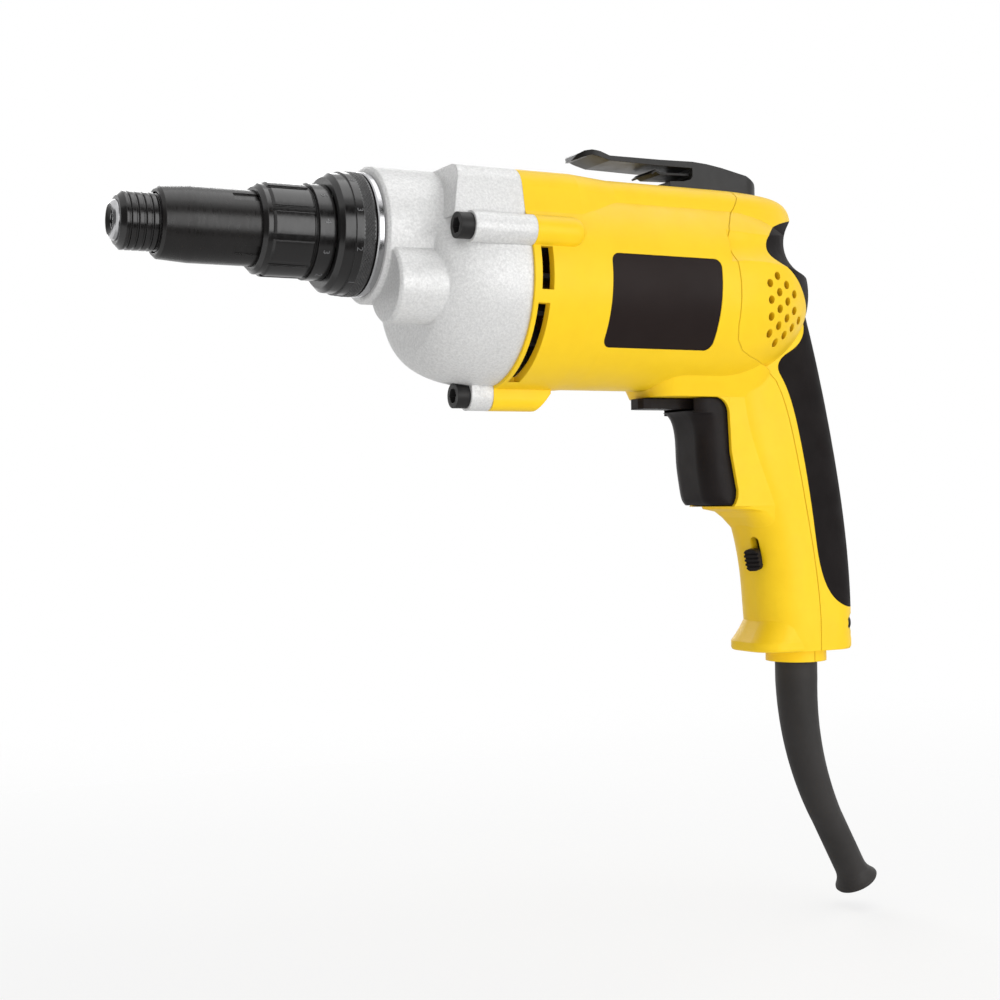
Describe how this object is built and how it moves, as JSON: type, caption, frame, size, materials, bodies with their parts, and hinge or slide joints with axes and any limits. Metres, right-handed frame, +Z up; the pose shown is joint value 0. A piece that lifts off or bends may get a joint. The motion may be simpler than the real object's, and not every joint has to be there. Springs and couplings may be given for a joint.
{
  "type": "corded torque-clutch screwdriver",
  "caption": "Pistol-grip corded electric screwdriver with a hex bit holder, a turning torque sleeve with collar, cast gear case, trigger, reversing lever and belt hook.",
  "frame": {"origin": "middle of the bit socket's mouth, on the spindle axis", "axes": "-X out of the nose along the spindle, +Z up away from the grip, -Y the tool's left side; Y = 0 is the middle plane"},
  "size_m": [0.3032, 0.0804, 0.2847],
  "materials": {
    "yellow_plastic": "satin moulded, fine grain",
    "black_rubber": "matt soft moulding",
    "badge_black": "smooth semi-gloss plate",
    "cast_aluminium": "sand-blasted casting",
    "black_steel": "black oxide",
    "polished_steel": "polished",
    "black_metal": "semi-gloss black coating",
    "plain_steel": "turned and ground",
    "spring_steel": "drawn wire",
    "bronze": "sintered",
    "brass_sheet": "folded sheet",
    "lamination_steel": "stacked sheets",
    "copper_wire": "enamelled wire",
    "carbon": "dull carbon",
    "inner_plastic": "plain moulding",
    "black_plastic": "matt moulding"
  },
  "bodies": {
    "housing": {"motor_housing": "yellow_plastic", "handle_cover": "yellow_plastic", "grip_overmold": "black_rubber", "badge_plates": "badge_black", "gear_case": "cast_aluminium", "gear_case_screws": "black_steel", "handle_cover_screws": "black_steel", "trim_ring": "polished_steel", "spindle_bush": "bronze", "drive_bush": "bronze", "idler_bushes": "bronze", "bearing_plate": "cast_aluminium", "bearing_outers": "plain_steel", "fan_baffle": "inner_plastic", "field_core": "lamination_steel", "field_coils": "copper_wire", "brush_plate": "inner_plastic", "brush_holder_left": "brass_sheet", "brush_holder_right": "brass_sheet", "brush_spring_left": "spring_steel", "brush_spring_right": "spring_steel", "clutch_spring": "spring_steel", "switch_body": "inner_plastic", "trigger_spring": "spring_steel", "cord_clamp": "inner_plastic", "cord_clamp_screws": "plain_steel", "strain_relief": "black_rubber", "belt_hook": "black_steel", "hook_leaf": "black_steel", "hook_screw": "black_steel"},
    "armature": {"armature_shaft": "plain_steel", "armature_core": "lamination_steel", "armature_windings": "copper_wire", "commutator": "copper_wire", "cooling_fan": "inner_plastic", "bearing_inners": "plain_steel"},
    "idler": {"idler_shaft": "plain_steel", "idler_gear": "plain_steel"},
    "drive": {"drive_gear": "plain_steel", "clutch_balls": "plain_steel", "return_spring": "spring_steel"},
    "spindle": {"output_spindle": "polished_steel", "clutch_cam": "plain_steel", "thrust_washer": "plain_steel", "bit_ball": "plain_steel", "release_spring": "spring_steel"},
    "bit_release": {"release_sleeve": "black_metal"},
    "torque_setting": {"torque_sleeve": "black_metal", "collar_ring": "plain_steel", "collar_spring": "spring_steel"},
    "collar": {"adjusting_collar": "black_metal"},
    "nut": {"spring_nut": "plain_steel"},
    "locking_ring": {"lock_ring": "black_metal"},
    "trigger_body": {"trigger": "black_plastic"},
    "lever": {"reversing_lever": "black_plastic"},
    "lock_on": {"lock_slider": "black_plastic"},
    "left_brush": {"carbon_brush_left": "carbon"},
    "right_brush": {"carbon_brush_right": "carbon"}
  },
  "joints": [
    {"name": "armature_spin", "type": "hinge", "parent": "housing", "child": "armature", "pos_m": [0.18, 0, -0.0147], "axis": [1, 0, 0], "continuous": true},
    {"name": "idler_spin", "type": "hinge", "parent": "housing", "child": "idler", "pos_m": [0.11, -0.0156, -0.01823], "axis": [1, 0, 0], "continuous": true},
    {"name": "drive_spin", "type": "hinge", "parent": "housing", "child": "drive", "pos_m": [0.105, 0, 0], "axis": [1, 0, 0], "continuous": true},
    {"name": "spindle_press", "type": "slide", "parent": "drive", "child": "spindle", "axis": [1, 0, 0], "range_m": [0, 0.003], "stiffness_N_per_m": 700, "springref_m": -0.003, "deforming": ["return_spring", "clutch_spring"]},
    {"name": "sleeve_pull", "type": "slide", "parent": "spindle", "child": "bit_release", "axis": [1, 0, 0], "range_m": [0, 0.004], "stiffness_N_per_m": 400, "springref_m": -0.003, "deforming": ["release_spring"]},
    {"name": "torque_turn", "type": "hinge", "parent": "housing", "child": "torque_setting", "pos_m": [0.04, 0, 0], "axis": [1, 0, 0], "range_deg": [0, 300]},
    {"name": "collar_unlock", "type": "slide", "parent": "torque_setting", "child": "collar", "axis": [-1, 0, 0], "range_m": [0, 0.004], "stiffness_N_per_m": 500, "springref_m": -0.003, "deforming": ["collar_spring"]},
    {"name": "nut_feed", "type": "slide", "parent": "housing", "child": "nut", "axis": [1, 0, 0], "range_m": [0, 0.0025], "deforming": ["clutch_spring"]},
    {"name": "lock_ring_turn", "type": "hinge", "parent": "housing", "child": "locking_ring", "pos_m": [0.078, 0, 0], "axis": [1, 0, 0], "range_deg": [0, 60]},
    {"name": "trigger_pull", "type": "slide", "parent": "housing", "child": "trigger_body", "axis": [1, 0, 0], "range_m": [0, 0.007], "stiffness_N_per_m": 600, "springref_m": -0.004, "deforming": ["trigger_spring"]},
    {"name": "lever_swing", "type": "hinge", "parent": "housing", "child": "lever", "pos_m": [0.236, 0, -0.0565], "axis": [0, 0, 1], "range_deg": [-12, 12]},
    {"name": "lock_on_slide", "type": "slide", "parent": "housing", "child": "lock_on", "axis": [-0.1961, 0, 0.9806], "range_m": [0, 0.0045]},
    {"name": "left_brush_lift", "type": "slide", "parent": "housing", "child": "left_brush", "axis": [0, -1, 0], "range_m": [0, 0.0015], "stiffness_N_per_m": 300, "springref_m": -0.003, "deforming": ["brush_spring_left"]},
    {"name": "right_brush_lift", "type": "slide", "parent": "housing", "child": "right_brush", "axis": [0, 1, 0], "range_m": [0, 0.0015], "stiffness_N_per_m": 300, "springref_m": -0.003, "deforming": ["brush_spring_right"]}
  ],
  "couplings": [
    {"joint": "idler_spin", "follows": "armature_spin", "ratio": -0.25},
    {"joint": "drive_spin", "follows": "armature_spin", "ratio": 0.10294},
    {"joint": "nut_feed", "follows": "torque_turn", "m_per_rad": 0.000477}
  ]
}
